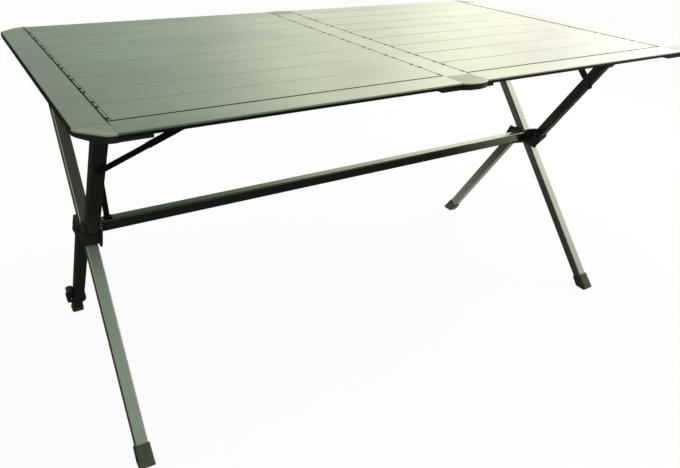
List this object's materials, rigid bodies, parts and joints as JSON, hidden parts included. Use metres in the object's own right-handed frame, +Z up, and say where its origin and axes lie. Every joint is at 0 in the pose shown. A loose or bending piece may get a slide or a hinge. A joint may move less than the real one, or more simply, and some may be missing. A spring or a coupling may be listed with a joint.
{
  "type": "camping table",
  "caption": "Folding picnic table with a two-part slatted metal top that lifts off an offset-pivot folding frame, with hinged struts, end stretcher and one levelling leg.",
  "frame": {"origin": "the middle of the table's footprint, on the floor", "axes": "+X along the table's length towards its right end, +Y from the front edge with the seam rivets towards the back, +Z up"},
  "size_m": [1.4, 0.814, 0.715],
  "materials": {
    "coated_top": "satin olive-grey anodised coating with a fine grain",
    "moulded_corner": "matt moulded plastic, dark olive-grey",
    "frame_tube": "dark bronze-grey anodised, satin",
    "moulded_joint": "near-black moulded nylon, satin",
    "foot_cap": "matt dark olive rubber",
    "dark_strip": "semi-matt black paint",
    "plated_pin": "dark plated rivet, satin"
  },
  "bodies": {
    "frame": {"long_leg_left": "frame_tube", "long_leg_right": "frame_tube", "hub_left": "moulded_joint", "hub_right": "moulded_joint", "pivot_pin_upper_left": "plated_pin", "pivot_pin_upper_right": "plated_pin", "pivot_pin_lower_left": "plated_pin", "pivot_pin_lower_right": "plated_pin", "stretcher": "frame_tube", "stay_left": "dark_strip", "rear_side_bar": "frame_tube", "leg_head_rear_left": "moulded_joint", "leg_head_rear_right": "moulded_joint", "foot_cap_front_left": "foot_cap", "foot_cap_front_right": "foot_cap"},
    "top_left": {"slat_left_1": "coated_top", "slat_left_2": "coated_top", "slat_left_3": "coated_top", "slat_left_4": "coated_top", "slat_left_5": "coated_top", "slat_left_6": "coated_top", "slat_left_7": "coated_top", "slat_left_8": "coated_top", "front_rail_left": "coated_top", "rear_rail_left": "coated_top", "end_strip_left": "coated_top", "corner_front_left": "moulded_corner", "corner_rear_left": "moulded_corner", "centre_strip": "coated_top", "connector_front": "moulded_corner", "connector_rear": "moulded_corner"},
    "top_right": {"slat_right_1": "coated_top", "slat_right_2": "coated_top", "slat_right_3": "coated_top", "slat_right_4": "coated_top", "slat_right_5": "coated_top", "slat_right_6": "coated_top", "slat_right_7": "coated_top", "slat_right_8": "coated_top", "front_rail_right": "coated_top", "rear_rail_right": "coated_top", "end_strip_right": "coated_top", "corner_front_right": "moulded_corner", "corner_rear_right": "moulded_corner"},
    "front_upper_frame": {"upper_half_leg_left": "frame_tube", "upper_half_leg_right": "frame_tube", "front_side_bar": "frame_tube", "leg_head_front_left": "moulded_joint", "leg_head_front_right": "moulded_joint"},
    "rear_leg_left": {"lower_half_leg_left": "frame_tube", "clamp_collar": "moulded_joint"},
    "rear_leg_right": {"lower_half_leg_right": "frame_tube", "foot_cap_rear_right": "foot_cap"},
    "levelling_foot": {"level_tube": "frame_tube", "level_foot_cap": "foot_cap"},
    "lever": {"clamp_lever": "moulded_joint"},
    "strut_front_left": {"knee_strut_front_left": "dark_strip"},
    "strut_front_right": {"knee_strut_front_right": "dark_strip"},
    "strut_rear_left": {"knee_strut_rear_left": "dark_strip"},
    "strut_rear_right": {"knee_strut_rear_right": "dark_strip"}
  },
  "joints": [
    {"name": "top_lift", "type": "slide", "parent": "frame", "child": "top_left", "axis": [0, 0, 1], "range_m": [0, 0.32]},
    {"name": "top_fold", "type": "hinge", "parent": "top_left", "child": "top_right", "pos_m": [0.03, 0, 0.7155], "axis": [0, 1, 0], "range_deg": [-180, 0]},
    {"name": "front_frame_fold", "type": "hinge", "parent": "frame", "child": "front_upper_frame", "pos_m": [0, -0.04195, 0.39729], "axis": [1, 0, 0], "range_deg": [-70, 0]},
    {"name": "rear_leg_fold_left", "type": "hinge", "parent": "frame", "child": "rear_leg_left", "pos_m": [-0.6474, 0.05476, 0.36071], "axis": [0.9994, 0, -0.0349], "range_deg": [-73, 0]},
    {"name": "rear_leg_fold_right", "type": "hinge", "parent": "frame", "child": "rear_leg_right", "pos_m": [0.6474, 0.05476, 0.36071], "axis": [0.9994, 0, 0.0349], "range_deg": [-73, 0]},
    {"name": "level_slide", "type": "slide", "parent": "rear_leg_left", "child": "levelling_foot", "axis": [-0.0287, 0.569, -0.8218], "range_m": [-0.04, 0.065]},
    {"name": "lever_turn", "type": "hinge", "parent": "rear_leg_left", "child": "lever", "pos_m": [-0.68093, 0.25673, 0.06982], "axis": [-0.0199, -0.8223, -0.5687], "range_deg": [0, 100]},
    {"name": "strut_turn_front_left", "type": "hinge", "parent": "front_upper_frame", "child": "strut_front_left", "pos_m": [-0.63981, -0.18052, 0.57809], "axis": [0.0197, 0.8254, 0.5642], "range_deg": [0, 115]},
    {"name": "strut_turn_front_right", "type": "hinge", "parent": "front_upper_frame", "child": "strut_front_right", "pos_m": [0.63981, -0.18052, 0.57809], "axis": [0.0197, -0.8254, -0.5642], "range_deg": [0, 115]},
    {"name": "strut_turn_rear_left", "type": "hinge", "parent": "frame", "child": "strut_rear_left", "pos_m": [-0.63984, 0.18487, 0.57724], "axis": [-0.0221, 0.7733, -0.6336], "range_deg": [0, 115]},
    {"name": "strut_turn_rear_right", "type": "hinge", "parent": "frame", "child": "strut_rear_right", "pos_m": [0.63984, 0.18487, 0.57724], "axis": [-0.0221, -0.7733, 0.6336], "range_deg": [0, 115]}
  ],
  "couplings": [
    {"joint": "front_frame_fold", "follows": "top_lift", "rad_per_m": -3.8}
  ]
}
